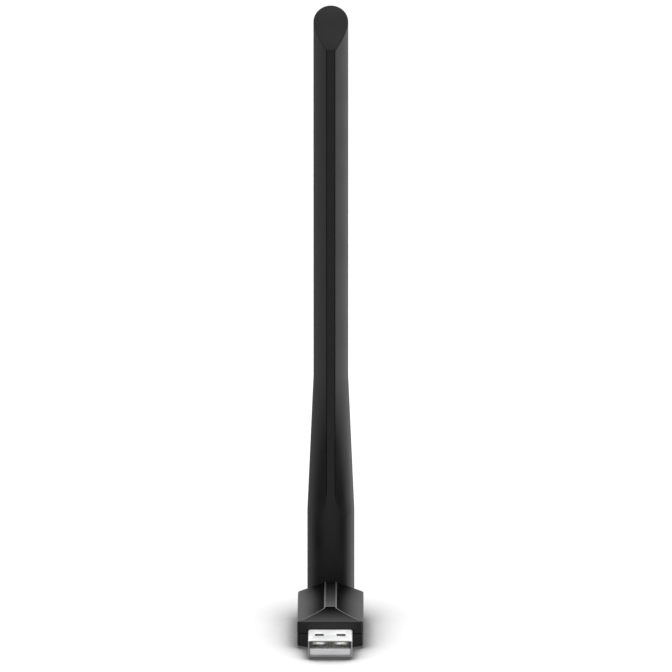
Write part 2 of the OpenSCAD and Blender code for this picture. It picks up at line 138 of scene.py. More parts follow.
def applyAll(piece):
    # the piece's modifiers are worked into its mesh
    bpy.context.view_layer.update()
    shape = piece.evaluated_get(bpy.context.evaluated_depsgraph_get())
    made = bpy.data.meshes.new_from_object(shape)
    old, piece.data = piece.data, made
    piece.modifiers.clear()
    bpy.data.meshes.remove(old)
    made.name = piece.name


def smooth(piece, angle):
    # smooth faces that keep their sharp edges
    piece.data.shade_smooth()
    piece.data.set_sharp_from_angle(angle=math.radians(angle))


def finishPiece(piece, body, material, nodes, angle):
    # smooth shading, one material, and the body and CAD nodes that the piece answers to
    smooth(piece, angle)
    piece.data.materials.clear()
    piece.data.materials.append(material)
    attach(piece, body)
    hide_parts(*nodes)


# ---------- shader tools

def addNode(tree, kind, **values):
    node = tree.nodes.new("ShaderNode" + kind)
    for name, value in values.items():
        setattr(node, name, value)
    return node


def give(tree, socket, value):
    # an input takes a plain value, or a link from another socket
    if isinstance(value, bpy.types.NodeSocket):
        tree.links.new(value, socket)
    else:
        socket.default_value = value


def feed(tree, node, **inputs):
    # sets a node's inputs by name
    for name, value in inputs.items():
        give(tree, node.inputs[name.replace("_", " ")], value)
    return node


def math2(tree, operation, first, second):
    node = addNode(tree, "Math", operation=operation)
    give(tree, node.inputs[0], first)
    give(tree, node.inputs[1], second)
    return node.outputs[0]


def smoothRange(tree, value, low, high, toLow=0.0, toHigh=1.0):
    node = addNode(tree, "MapRange", interpolation_type="SMOOTHSTEP")
    feed(tree, node, Value=value, From_Min=low, From_Max=high, To_Min=toLow, To_Max=toHigh)
    return node.outputs["Result"]


def newGroup(name, inputs, outputs):
    # an empty shader group with named sockets; the inputs are (name, default)
    group = bpy.data.node_groups.new(name, "ShaderNodeTree")
    kind = "NodeSocketFloat"
    for socket, value in inputs:
        made = group.interface.new_socket(name=socket, in_out="INPUT", socket_type=kind)
        made.default_value = value
    for socket in outputs:
        group.interface.new_socket(name=socket, in_out="OUTPUT", socket_type=kind)
    return group, group.nodes.new("NodeGroupInput"), group.nodes.new("NodeGroupOutput")


def grainGroup():
    # mould texture: fine rounded pits from cells, roughened by noise, with a slow unevenness
    inputs = [("Scale", 2600.0), ("Cloud Scale", 120.0)]
    group, given, made = newGroup("mouldGrain", inputs, ["Height", "Cloud"])
    place = addNode(group, "TexCoord").outputs["Object"]
    cells = feed(group, addNode(group, "TexVoronoi", feature="SMOOTH_F1"), Vector=place,
                 Scale=given.outputs["Scale"], Smoothness=0.6)
    fine = feed(group, addNode(group, "TexNoise"), Vector=place,
                Scale=math2(group, "MULTIPLY", given.outputs["Scale"], 1.7), Detail=3.0)
    cloud = feed(group, addNode(group, "TexNoise"), Vector=place, Scale=given.outputs["Cloud Scale"],
                 Detail=3.0)
    height = math2(group, "ADD", math2(group, "MULTIPLY", cells.outputs["Distance"], 0.7),
                   math2(group, "MULTIPLY", fine.outputs[0], 0.5))
    group.links.new(height, made.inputs["Height"])
    group.links.new(cloud.outputs[0], made.inputs["Cloud"])
    return group


def brushGroup():
    # brushed or rolled metal: noise drawn out along one direction
    group, given, made = newGroup("brushLines", [("Across", 9000.0), ("Along", 300.0)], ["Height", "Cloud"])
    place = addNode(group, "TexCoord").outputs["Object"]
    stretch = addNode(group, "CombineXYZ")
    feed(group, stretch, X=given.outputs["Across"], Y=given.outputs["Along"], Z=given.outputs["Across"])
    scaled = addNode(group, "VectorMath", operation="MULTIPLY")
    group.links.new(place, scaled.inputs[0])
    group.links.new(stretch.outputs[0], scaled.inputs[1])
    lines = feed(group, addNode(group, "TexNoise"), Vector=scaled.outputs[0], Scale=1.0, Detail=2.0)
    cloud = feed(group, addNode(group, "TexNoise"), Vector=place, Scale=220.0, Detail=3.0)
    group.links.new(lines.outputs[0], made.inputs["Height"])
    group.links.new(cloud.outputs[0], made.inputs["Cloud"])
    return group


def recessGroup():
    # how open a place is to the air around it: 0 deep in a recess, 1 out in the open
    group, given, made = newGroup("openness", [("Reach", 0.001), ("From", 0.2), ("To", 0.7)], ["Mask"])
    open_ = addNode(group, "AmbientOcclusion", samples=8)
    group.links.new(given.outputs["Reach"], open_.inputs["Distance"])
    mask = feed(group, addNode(group, "MapRange"), Value=open_.outputs["AO"], From_Min=given.outputs["From"],
                From_Max=given.outputs["To"])
    group.links.new(mask.outputs["Result"], made.inputs["Mask"])
    return group


print("making the shared effects")
groups = {"grain": grainGroup(), "brush": brushGroup(), "recess": recessGroup()}


def startMaterial(name, preview):
    material = bpy.data.materials.new(name)
    material.use_nodes = True
    material.diffuse_color = (*preview, 1)
    tree = material.node_tree
    return material, tree, tree.nodes["Principled BSDF"]


def useGroup(tree, name, **inputs):
    node = tree.nodes.new("ShaderNodeGroup")
    node.node_tree = groups[name]
    return feed(tree, node, **inputs)


def tintBetween(tree, mask, dark, light):
    # a colour that goes from dark to light with a mask
    mix = addNode(tree, "Mix", data_type="RGBA")
    mix.inputs[6].default_value = (*dark, 1)
    mix.inputs[7].default_value = (*light, 1)
    tree.links.new(mask, mix.inputs[0])
    return mix.outputs[2]


def addBump(tree, shader, height, distance):
    bump = feed(tree, addNode(tree, "Bump"), Height=height, Distance=distance, Strength=1.0)
    tree.links.new(bump.outputs["Normal"], shader.inputs["Normal"])


def shaded(tree, tone, look):
    # painted shade: the tone goes to a dull dark one in narrow recesses
    reach, low, high, dull = look["recess"]
    open_ = useGroup(tree, "recess", Reach=reach, From=low, To=high)
    mix = addNode(tree, "Mix", data_type="RGBA")
    tree.links.new(open_.outputs["Mask"], mix.inputs[0])
    mix.inputs[6].default_value = (dull, dull, dull, 1)
    tree.links.new(tone, mix.inputs[7])
    return mix.outputs[2]


def paler(tree, tone, mask, pale):
    # the tone goes to a pale one with a mask
    mix = addNode(tree, "Mix", data_type="RGBA")
    tree.links.new(mask, mix.inputs[0])
    tree.links.new(tone, mix.inputs[6])
    mix.inputs[7].default_value = (*pale, 1)
    return mix.outputs[2]


def edgeHighlightTone(tree, tone, cloud, look):
    # painted highlight on the edges: the tone goes to a paler one by height x distance behind the front x
    # slow cloud
    split = addNode(tree, "SeparateXYZ")
    tree.links.new(addNode(tree, "TexCoord").outputs["Object"], split.inputs[0])
    raised = smoothRange(tree, split.outputs["Z"], look["edgeHighlightFrom"], look["edgeHighlightTo"])
    behind = smoothRange(tree, split.outputs["Y"], *look["edgeHighlightBehind"])
    uneven = smoothRange(tree, cloud, 0.3, 0.6, 0.75, 1.0)
    mask = math2(tree, "MULTIPLY", uneven, math2(tree, "MULTIPLY", raised, behind))
    return paler(tree, tone, mask, look["edgeHighlight"])


def mouldedPlastic(name, look):
    # colour = dark to light with the slow cloud, then paler by the painted edge highlight and by the
    # piece's own painted light values, and dull in recesses by painted shade; roughness = low to high with
    # the same cloud; coat weight = the piece's own sheen values; height = mould grain
    material, tree, shader = startMaterial(name, look["light"])
    grain = useGroup(tree, "grain", Scale=look["grain"], Cloud_Scale=look["cloud"])
    tone = tintBetween(tree, smoothRange(tree, grain.outputs["Cloud"], 0.3, 0.7), look["dark"], look["light"])
    # painted highlight on the upper edges
    if look.get("edgeHighlight"):
        tone = edgeHighlightTone(tree, tone, grain.outputs["Cloud"], look)
    # painted highlight from the piece's own values
    if look.get("paintedLight"):
        paintedLight = addNode(tree, "Attribute", attribute_name=look["paintedLight"])
        tone = paler(tree, tone, paintedLight.outputs["Fac"], look["paintedLightTone"])
    if look.get("sheen"):
        # all of the gloss is in the coat, which thins out by the piece's own sheen values
        sheen = addNode(tree, "Attribute", attribute_name=look["sheen"])
        tree.links.new(sheen.outputs["Fac"], shader.inputs["Coat Weight"])
        shader.inputs["Coat Roughness"].default_value = sum(look["rough"]) / 2
    # painted shade in recesses
    if look.get("recess"):
        tone = shaded(tree, tone, look)
    tree.links.new(tone, shader.inputs["Base Color"])
    rough = smoothRange(tree, grain.outputs["Cloud"], 0.25, 0.75, look["rough"][0], look["rough"][1])
    tree.links.new(rough, shader.inputs["Roughness"])
    feed(tree, shader, Specular_IOR_Level=look.get("gloss", 0.5))
    addBump(tree, shader, grain.outputs["Height"], look["depth"])
    return material


def platedMetal(name, look):
    # colour = dark to light with the slow cloud, dull in recesses by painted shade; roughness and height
    # follow the drawn-out lines
    material, tree, shader = startMaterial(name, look["light"])
    brush = useGroup(tree, "brush", Across=look["across"], Along=look["along"])
    tone = tintBetween(tree, smoothRange(tree, brush.outputs["Cloud"], 0.3, 0.7), look["dark"], look["light"])
    # painted shade in recesses
    if look.get("recess"):
        tone = shaded(tree, tone, look)
    tree.links.new(tone, shader.inputs["Base Color"])
    rough = smoothRange(tree, brush.outputs["Height"], 0.2, 0.8, look["rough"][0], look["rough"][1])
    tree.links.new(rough, shader.inputs["Roughness"])
    shader.inputs["Metallic"].default_value = look["metal"]
    addBump(tree, shader, brush.outputs["Height"], look["depth"])
    return material


print("making the materials")
plasticLooks = {
    # the next: its paler tone along the ridge, from the piece's own values, is a painted highlight
    "housingPlastic": dict(dark=(0.0015, 0.0015, 0.0016), light=(0.0027, 0.0027, 0.0028), rough=(0.36, 0.44),
                           grain=5200.0, cloud=160.0, depth=0.000003, gloss=0.0, sheen="sheen", paintedLight="paintedLight",
                           paintedLightTone=(0.10, 0.10, 0.10)),
    # the next: its paler tone on the upper edges is a painted highlight
    "housingEdge": dict(dark=(0.0015, 0.0015, 0.0016), light=(0.0027, 0.0027, 0.0028), rough=(0.3, 0.38),
                        grain=5200.0, cloud=900.0, depth=0.000002,
                        edgeHighlight=(0.12, 0.12, 0.12), edgeHighlightFrom=0.0040, edgeHighlightTo=0.0043, edgeHighlightBehind=(0.0003, 0.0008)),
    "antennaPlastic": dict(dark=(0.0055, 0.0055, 0.0057), light=(0.0085, 0.0085, 0.0087), rough=(0.37, 0.45),
                           grain=3400.0, cloud=110.0, depth=0.000006),
    "neckPlastic": dict(dark=(0.008, 0.008, 0.009), light=(0.013, 0.013, 0.014), rough=(0.3, 0.42),
                        grain=4200.0, cloud=200.0, depth=0.000003),
    # the next: the dark tone in its recesses is painted shade
    "insulatorPlastic": dict(dark=(0.76, 0.76, 0.77), light=(0.82, 0.82, 0.83), rough=(0.4, 0.5),
                             grain=6000.0, cloud=300.0, depth=0.000002, recess=(0.004, 0.08, 0.3, 0.05)),
    "chipEpoxy": dict(dark=(0.012, 0.012, 0.013), light=(0.022, 0.022, 0.024), rough=(0.45, 0.6),
                      grain=9000.0, cloud=700.0, depth=0.000003),
    "capacitorCeramic": dict(dark=(0.33, 0.21, 0.11), light=(0.46, 0.31, 0.18), rough=(0.4, 0.55),
                             grain=9000.0, cloud=900.0, depth=0.000002),
    "ferriteGrey": dict(dark=(0.035, 0.035, 0.038), light=(0.06, 0.06, 0.064), rough=(0.55, 0.7),
                        grain=7000.0, cloud=600.0, depth=0.000004),
    "cableJacket": dict(dark=(0.02, 0.02, 0.022), light=(0.035, 0.035, 0.037), rough=(0.35, 0.5),
                        grain=5000.0, cloud=400.0, depth=0.000002),
    "ringRubber": dict(dark=(0.012, 0.012, 0.012), light=(0.022, 0.022, 0.022), rough=(0.5, 0.7),
                       grain=5000.0, cloud=500.0, depth=0.000003),
    "washerNylon": dict(dark=(0.56, 0.53, 0.43), light=(0.68, 0.65, 0.55), rough=(0.4, 0.52),
                        grain=4000.0, cloud=400.0, depth=0.000003),
    "boardLaminate": dict(dark=(0.010, 0.085, 0.045), light=(0.018, 0.13, 0.07), rough=(0.18, 0.3),
                          grain=3000.0, cloud=260.0, depth=0.000004),
    "aerialLaminate": dict(dark=(0.34, 0.29, 0.15), light=(0.45, 0.39, 0.23), rough=(0.35, 0.5),
                           grain=2600.0, cloud=180.0, depth=0.000005),
}
metalLooks = {
    # the next: the dark tone in its recesses is painted shade
    "plugSteel": dict(dark=(0.80, 0.80, 0.81), light=(0.90, 0.90, 0.90), rough=(0.30, 0.38),
                      across=7000.0, along=260.0, depth=0.000001, metal=0.3,
                      recess=(0.0012, 0.4, 0.85, 0.03)),
    # the next: a darker copy of the plug's steel for the mouth's lip, painted shade
    "rimShadeSteel": dict(dark=(0.36, 0.36, 0.37), light=(0.44, 0.44, 0.45), rough=(0.30, 0.38),
                     across=7000.0, along=260.0, depth=0.000001, metal=0.6),
    # the next: near-black steel on the windows' cut edges, painted shade
    "windowShadeSteel": dict(dark=(0.05, 0.05, 0.05), light=(0.08, 0.08, 0.08), rough=(0.45, 0.6),
                     across=9000.0, along=2600.0, depth=0.000001, metal=0.4),
    "canSteel": dict(dark=(0.62, 0.63, 0.64), light=(0.74, 0.75, 0.76), rough=(0.24, 0.4),
                     across=6000.0, along=900.0, depth=0.000001, metal=1.0),
    "pinSteel": dict(dark=(0.50, 0.50, 0.51), light=(0.62, 0.62, 0.63), rough=(0.2, 0.34),
                     across=9000.0, along=900.0, depth=0.000001, metal=1.0),
    # the next: the dark tone in its recesses is painted shade
    "contactGold": dict(dark=(0.88, 0.84, 0.74), light=(0.96, 0.93, 0.86), rough=(0.3, 0.42),
                        across=9000.0, along=500.0, depth=0.000001, metal=0.15,
                        recess=(0.004, 0.08, 0.3, 0.05)),
    "etchedCopper": dict(dark=(0.62, 0.30, 0.14), light=(0.78, 0.42, 0.23), rough=(0.3, 0.45),
                         across=5000.0, along=5000.0, depth=0.000001, metal=1.0),
}
finishes = {name: mouldedPlastic(name, look) for name, look in plasticLooks.items()}
finishes.update({name: platedMetal(name, look) for name, look in metalLooks.items()})

slotFinish = {
    "housing_plastic": "housingPlastic", "neck_plastic": "neckPlastic", "antenna_plastic": "antennaPlastic",
    "plug_steel": "plugSteel", "pin_steel": "pinSteel", "can_steel": "canSteel",
    "insulator_plastic": "insulatorPlastic", "contact_gold": "contactGold", "board_laminate": "boardLaminate",
    "aerial_laminate": "aerialLaminate", "copper": "etchedCopper", "chip_epoxy": "chipEpoxy",
    "capacitor_ceramic": "capacitorCeramic", "ferrite": "ferriteGrey", "cable_jacket": "cableJacket",
    "ring_rubber": "ringRubber", "washer_nylon": "washerNylon",
}
for node in frame["nodes"].values():
    for holder in node.material_slots:
        holder.material = finishes[slotFinish[holder.material.name]]


# ---------- antenna covers

frontLow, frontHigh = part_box("antenna_front_cover")
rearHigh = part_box("antenna_rear_cover")[1]
antennaLook = {
    "bladeWidth": 9.5 * mm, "bladeDepth": 10.4 * mm,       # upper part
    "stripe": 1.15 * mm, "stripeLow": 2.5 * mm,            # half the flat stripe, and where it ends below
    "taperLow": 25.8 * mm, "taperHigh": 63.7 * mm,         # the narrowing
    "flareLow": 25.8 * mm, "flareHigh": 33.6 * mm,         # the stripe widens and fades
    "flareFrom": 2.9 * mm, "flareCurve": 2.2,              # where on the lower curve, and how fast
    "lowFullness": 2.7, "bladeFullness": 1.6,              # how full the front's curve is
    "creaseRadius": 0.16 * mm,                             # softness of the stripe's edges
    "creaseDepth": 0.16 * mm,
    "tipBevel": 0.18 * mm, "endBevel": 0.35 * mm,
    "wall": 1.3 * mm, "hollowLow": 7.2 * mm,
    "seamDepth": 0.1 * mm, "seamHalf": 0.14 * mm,
    "slotHalf": 3.25 * mm, "slotRadius": 3.7 * mm, "slotReach": 2.86 * mm,   # room for the neck
    "pinBore": 1.22 * mm, "capGap": 0.03 * mm, "seatSpare": 0.05 * mm,       # room for the pins and caps
    "sidePast": 8 * mm, "past": 10 * mm, "away": 100 * mm,                   # how far the cutters reach
}
antennaFront = frontLow.y
baseHalf = frontHigh.x
baseDepth = rearHigh.y - frontLow.y
widestDepth = frontHigh.y - frontLow.y
endRadius = baseDepth / 2
tipHeight = frontHigh.z - widestDepth                      # lowest point of the slanted tip
creaseColumn = 10                                          # where the stripe ends, in every outline
endZone = 12 * mm                                          # rows within these slide onto the ends
tipZone = 20 * mm


def lowFront(look):
    # lower end: a full rounded front, as a superellipse, from the centre line to the widest line.
    # across = sin(angle)^(2/n), depth = 1 - cos(angle)^(2/n)
    fullness = look["lowFullness"]
    angle = np.linspace(0, np.pi / 2, 900)
    return np.stack([baseHalf * np.sin(angle) ** (2 / fullness),
                     widestDepth * (1 - np.cos(angle) ** (2 / fullness))], -1)


def midFront(look):
    # foot of the stripe: a flat strip, then the lower end's curve from where it leans enough to crease
    curve = lowFront(look)
    start = np.searchsorted(curve[:, 0], look["flareFrom"])
    curve = curve[start:]
    half = baseHalf
    across = look["stripe"] + (half - look["stripe"]) * (curve[:, 0] - curve[0, 0]) / (half - curve[0, 0])
    depth = widestDepth * (curve[:, 1] - curve[0, 1]) / (widestDepth - curve[0, 1])
    flat = np.stack([np.linspace(0, look["stripe"], 200, endpoint=False), np.zeros(200)], -1)
    return np.concatenate([flat, np.stack([across, depth], -1)])


def bladeFront(look):
    # upper part: a flat strip, then a curve. across = 1 - (1 - depth)^n
    depth = np.linspace(0, 1, 700)
    half = look["bladeWidth"] / 2
    across = look["stripe"] + (half - look["stripe"]) * (1 - (1 - depth) ** look["bladeFullness"])
    flat = np.stack([np.linspace(0, look["stripe"], 200, endpoint=False), np.zeros(200)], -1)
    return np.concatenate([flat, np.stack([across, depth * widestDepth], -1)])


def backCurve(half, depth):
    # round back: a quarter of an ellipse from the widest line to the centre of the back
    angle = np.linspace(0, np.pi / 2, 600)[1:]
    return np.stack([half * np.cos(angle), widestDepth + (depth - widestDepth) * np.sin(angle)], -1)


def evenly(points, count):
    # the same open line with its points spread evenly along it
    length = np.concatenate([[0], np.cumsum(np.linalg.norm(np.diff(points, axis=0), axis=1))])
    place = np.linspace(0, length[-1], count)
    return np.stack([np.interp(place, length, points[:, axis]) for axis in (0, 1)], -1), place


def softened(points, radius):
    # a half outline with its corners rounded: a running average along the whole mirrored outline
    line, place = evenly(points, 4000)
    reach = max(1, int(round(2.5 * radius / (place[1] - place[0]))))
    weight = np.exp(-0.5 * (np.arange(-reach, reach + 1) / (reach / 2.5)) ** 2)
    weight /= weight.sum()
    flip = np.array([-1, 1])
    whole = np.concatenate([line[reach:0:-1] * flip, line, line[-2:-reach - 2:-1] * flip])
    return np.stack([np.convolve(whole[:, axis], weight, "valid") for axis in (0, 1)], -1)


def sectionColumns(front, back, edgeAcross, radius, inset):
    # the half outline from the front's centre to the back's, at columns that crowd at the crease
    # and at the seam, moved inwards by inset
    line = softened(np.concatenate([front, back]), radius)
    slope = np.gradient(line, axis=0)
    normal = np.stack([slope[:, 1], -slope[:, 0]], -1)
    normal /= np.linalg.norm(normal, axis=1, keepdims=True)
    line = line - normal * inset
    length = np.concatenate([[0], np.cumsum(np.linalg.norm(np.diff(line, axis=0), axis=1))])
    crease = length[np.argmax(line[:, 0] > edgeAcross - 0.3 * inset)]
    seam = length[np.argmax(line[:, 1] > widestDepth)]
    near = np.array([0.06, 0.12, 0.2, 0.3]) * mm
    past, besideSeam = 0.4 * mm, 0.3 * mm
    groove = np.array([0.5, 1.0]) * antennaLook["seamHalf"]
    stripeStops = np.concatenate([np.linspace(0, crease - past, 6), crease - near[::-1]])
    sideStops = np.concatenate([[crease], crease + near, np.linspace(crease + past, seam - besideSeam, 44)])
    seamStops = np.concatenate([seam - groove[::-1], [seam], seam + groove])
    backStops = np.linspace(seam + besideSeam, length[-1], 44)
    stops = np.concatenate([stripeStops, sideStops, seamStops, backStops])
    seamColumn = len(stripeStops) + len(sideStops) + 2
    return np.stack([np.interp(stops, length, line[:, axis]) for axis in (0, 1)], -1), seamColumn


def antennaRings(look, inset, heights):
    # the antenna's outline at each height, as an array of heights by columns of (x, y):
    # the three outlines blended, and the width narrowing in a straight line
    bladeHalf, stripe = look["bladeWidth"] / 2, look["stripe"]
    radius = look["creaseRadius"]
    low, seamColumn = sectionColumns(lowFront(look), backCurve(baseHalf, baseDepth),
                                     look["stripeLow"], radius, inset)
    mid, _ = sectionColumns(midFront(look), backCurve(baseHalf, baseDepth), look["stripe"], radius, inset)
    blade, _ = sectionColumns(bladeFront(look), backCurve(bladeHalf, look["bladeDepth"]),
                              look["stripe"], radius, inset)
    rise = (heights - look["flareLow"]) / (look["flareHigh"] - look["flareLow"])
    rise = np.clip(rise, 0, 1)[:, None, None]
    flare = 1 - (1 - rise) ** look["flareCurve"]
    taper = (heights - look["taperLow"]) / (look["taperHigh"] - look["taperLow"])
    taper = np.clip(taper, 0, 1)[:, None]
    flareTaper = (look["flareHigh"] - look["taperLow"]) / (look["taperHigh"] - look["taperLow"])
    wide = baseHalf + (bladeHalf - baseHalf) * taper
    deep = 1 + (look["bladeDepth"] / baseDepth - 1) * taper[..., None] * np.array([0, 1])
    foot = stretched(low, 0.0, wide, inset)
    foot = foot + (stretched(mid, stripe, wide, inset) - foot) * flare
    top = stretched(blade, stripe, wide, inset)
    blend = np.clip((taper[..., None] - flareTaper) / (1 - flareTaper), 0, 1)
    return foot * deep + (top - foot * deep) * blend, seamColumn


def stretched(section, stripe, wide, inset):
    # one outline for each height: across the stripe it stays, and beyond it the widths are
    # stretched so that the widest point comes out at the height's own half width
    across = np.minimum(section[None, :, 0], stripe)
    beyond = section[None, :, 0] - across
    share = (wide - inset - stripe) / (section[:, 0].max() - stripe)
    return np.stack([across + beyond * share, section[None, :, 1] * np.ones_like(share)], -1)


def wholeLoop(half):
    # (rows, columns, 2) half outlines mirrored into closed loops
    return np.concatenate([half, half[:, -2:0:-1] * np.array([-1, 1])], 1)


def antennaBlank(name, look, inset, low, high, shaped):
    # the closed antenna body: rings stacked up and closed by rungs straight across. when it is
    # shaped, the seam and the creases are pressed in and the ends follow the round bottom and the tip
    body = np.concatenate([
        np.linspace(low, low + endZone, 12), np.arange(low + endZone + mm, look["flareLow"] - mm, 1.6 * mm),
        np.linspace(look["flareLow"], look["flareHigh"], 34),
        np.linspace(look["flareHigh"] + mm, look["taperHigh"], 26),
        np.linspace(look["taperHigh"] + 2 * mm, high - 7 * mm, 40), np.linspace(high - 5 * mm, high, 5)])
    rings, seamColumn = antennaRings(look, inset, body)
    loops = wholeLoop(rings)
    if shaped:
        groove = np.zeros(loops.shape[1])
        crease = np.zeros(loops.shape[1])
        for column in (seamColumn, loops.shape[1] - seamColumn):
            groove[column - 1:column + 2] = look["seamDepth"]
        for column in (creaseColumn, loops.shape[1] - creaseColumn):
            crease[column - 1:column + 2] = np.array([0.6, 1.0, 0.6]) * look["creaseDepth"]
        fade = np.clip((body - look["flareLow"]) / (look["flareHigh"] - look["flareLow"]), 0, 1)[:, None]
        loops = loops - ringNormals(loops) * (groove + crease * fade)[..., None]
    heights = body[:, None] * np.ones(loops.shape[1])
    if shaped:
        heights = shearEnds(loops[..., 1] + antennaFront, body, low, high)
        loops, heights = roundEnds(loops, heights, look)
    points = np.stack([loops[..., 0], loops[..., 1] + antennaFront, heights], -1)
    rows, columns = points.shape[:2]
    index = np.arange(rows * columns).reshape(rows, columns)
    half = columns // 2
    faces = loopQuads(rows, columns).tolist()
    faces += flipped(ladderCap(index[0], half)) + ladderCap(index[-1], half)
    return makeObject(name, points, faces)


def ringNormals(loops):
    # outward normals of closed rings in their own plane
    slope = np.roll(loops, -1, 1) - np.roll(loops, 1, 1)
    normal = np.stack([slope[..., 1], -slope[..., 0]], -1)
    return normal / np.linalg.norm(normal, axis=-1, keepdims=True)


def endFloor(y):
    # underside of the round bottom end
    return axisZ - np.sqrt(np.clip(endRadius ** 2 - (y - hingeY) ** 2, 0, None))


def tipRoof(y):
    # the slanted tip rises backwards at 45 degrees
    return tipHeight + (y - antennaFront)


def shearEnds(y, body, low, high):
    # within a zone at each end the rows slide up or down onto the end's surface
    top = high - tipZone
    heights = body[:, None] * np.ones_like(y)
    nearLow = np.clip((low + endZone - heights) / endZone, 0, 1)
    nearTop = np.clip((heights - top) / (high - top), 0, 1)
    return heights + nearLow * (endFloor(y) - low) + nearTop * (tipRoof(y) - high)


def roundEnds(loops, heights, look, steps=5):
    # extra rows that turn the walls over into the ends by a quarter circle
    angle = np.linspace(0, np.pi / 2, steps + 1)[:, None, None]
    endLoops, endHeights = [], []
    ends = ((0, look["endBevel"], endFloor, 1), (-1, look["tipBevel"], tipRoof, -1))
    for row, bevel, surface, sign in ends:
        ring, normal = loops[row], ringNormals(loops[row][None])[0]
        moved = ring[None] - normal[None] * bevel * (1 - np.cos(angle))
        lift = bevel * (1 - np.sin(angle[..., 0]))
        endLoops.append(moved)
        endHeights.append(surface(moved[..., 1] + antennaFront) + sign * lift)
    lowLoops, highLoops = endLoops[0][::-1], endLoops[1]
    lowHeights, highHeights = endHeights[0][::-1], endHeights[1]
    return (np.concatenate([lowLoops, loops[1:-1], highLoops]),
            np.concatenate([lowHeights, heights[1:-1], highHeights]))


def slotCutter(look):
    # room for the neck and its tongue: a round end and two flat-walled ways, open to the front and below
    half, radius, reach = look["slotHalf"], look["slotRadius"], look["slotReach"]
    front, below = antennaFront - look["past"], axisZ - 2 * look["past"]
    turned = makeTurned("slot", [(radius, -half), (radius, half)], (0, hingeY, axisZ), "x", 96)
    frontWay = makeBox("slotFront", (-half, front, below), (half, hingeY, axisZ + reach))
    lowWay = makeBox("slotBelow", (-half, front - mm, below - mm), (half, hingeY + reach, axisZ))
    cut(turned, frontWay, "UNION")
    cut(turned, lowWay, "UNION")
    return turned


def buildAntenna(look):
    print("making the antenna covers")
    capLow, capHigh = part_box("hinge_cap_right")
    seatRadius = (capHigh.z - capLow.z) / 2 + look["capGap"]
    hinge, sidePast, away = (0, hingeY, axisZ), look["sidePast"], look["away"]
    covers = (("frontCover", "antenna_front_cover", frontHigh.y, away),
              ("rearCover", "antenna_rear_cover", -away, frontHigh.y))
    for name, node, otherFront, otherBack in covers:
        shell = antennaBlank(name, look, 0.0, axisZ - endRadius, rearHigh.z, True)
        cut(shell, antennaBlank("hollow", look, look["wall"], look["hollowLow"], tipHeight - 2 * mm, False))
        cut(shell, slotCutter(look))
        bore = [(look["pinBore"], -sidePast), (look["pinBore"], sidePast)]
        cut(shell, makeTurned("pinBore", bore, hinge, "x", 48))
        for side in (-1, 1):
            inner, outer = sorted((side * (capLow.x - look["seatSpare"]), side * sidePast))
            cut(shell, makeTurned("recess", [(seatRadius, inner), (seatRadius, outer)], hinge, "x", 96))
        # each cover keeps its own side of the seam
        cut(shell, makeBox("half", (-away, otherFront, -away), (away, otherBack, 3 * away)))
        finishPiece(shell, "antenna", finishes["antennaPlastic"], [node], 35)


buildAntenna(antennaLook)


# ---------- hinge caps

hingeCapLook = {
    "bevel": 0.1 * mm, "core": 0.05 * mm,                  # rounded rim, and the narrow core at the axis
    "dish": 0.13 * mm, "dishLip": 0.06 * mm,               # depth of the dish, and of its lip
    "dishStops": (0.45 * mm, 0.52 * mm, 0.62 * mm),        # from the rim in to the lip's start, bend and end
}


def buildHingeCaps(look):
    # a turned cap with a rounded rim and a shallow dish in its face
    print("making the hinge caps")
    bevel, core, dish = look["bevel"], look["core"], look["dish"]
    lipStart, lipBend, lipEnd = look["dishStops"]
    angle = np.linspace(0, np.pi / 2, 6)
    caps = (("hingeCapLeft", "hinge_cap_left", -1), ("hingeCapRight", "hinge_cap_right", 1))
    for name, node, side in caps:
        low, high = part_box(node)
        radius, thick = (high.z - low.z) / 2, high.x - low.x
        rim = np.stack([radius - bevel * (1 - np.cos(angle)), thick - bevel * (1 - np.sin(angle))], -1)
        profile = np.array([(core, 0), (radius, 0), *rim.tolist(), (radius - lipStart, thick),
                            (radius - lipBend, thick - look["dishLip"]), (radius - lipEnd, thick - dish),
                            (core, thick - dish)])
        profile[:, 1] = (low.x if side > 0 else high.x) + side * profile[:, 1]
        piece = makeTurned(name, profile[::side], (0, hingeY, axisZ), "x", 72)
        finishPiece(piece, "antenna", finishes["antennaPlastic"], [node], 40)


buildHingeCaps(hingeCapLook)


# ---------- plug

plugLook = {
    "halfWide": 6 * mm, "wall": 0.4 * mm, "corner": 0.55 * mm, "lip": 0.12 * mm,
    "wallShare": 0.9,                                      # how much of that wall the sheet takes up
    "edge": 0.035 * mm,                                    # rounding of its sharp edges
    "window": (1.225 * mm, 1.0 * mm), "windowRound": 0.16 * mm, "windowPlace": (2.95 * mm, -5.8 * mm),
    "windowSpare": 0.02 * mm, "cutterHalf": 5 * mm,
    # the holding tabs at the sides, inside the housing
    "tabRoot": 0.2 * mm, "tabReach": 1.0 * mm, "tabLow": 2.8 * mm, "tabLength": 1.6 * mm,
    "tabHeight": -0.25 * mm, "tabDepth": 0.3 * mm,
}


def roundedOutline(halfWide, halfHigh, corner, steps=8):
    # a rectangle with round corners, as one closed line of points
    angle = np.linspace(0, np.pi / 2, steps)
    turn = np.concatenate([angle + quarter * np.pi / 2 for quarter in range(4)])
    centreX = np.repeat(np.array([1, -1, -1, 1]) * (halfWide - corner), steps)
    centreZ = np.repeat(np.array([1, 1, -1, -1]) * (halfHigh - corner), steps)
    return np.stack([centreX + corner * np.cos(turn), centreZ + corner * np.sin(turn)], -1)


def windowCutter(look, side):
    # a pin with round corners that goes right through the plug from top to bottom
    halfWide, halfLong = look["window"]
    outline = roundedOutline(halfWide, halfLong, look["windowRound"])
    place = np.array(look["windowPlace"]) * (side, 1)
    count = len(outline)
    level = np.array([-look["cutterHalf"], look["cutterHalf"]])[:, None, None] * np.ones((2, count, 1))
    points = np.concatenate([np.repeat((outline + place)[None], 2, 0), level], -1)
    faces = loopQuads(2, count).tolist() + [list(range(count - 1, -1, -1)), list(range(count, 2 * count))]
    return makeObject("window", points, faces)


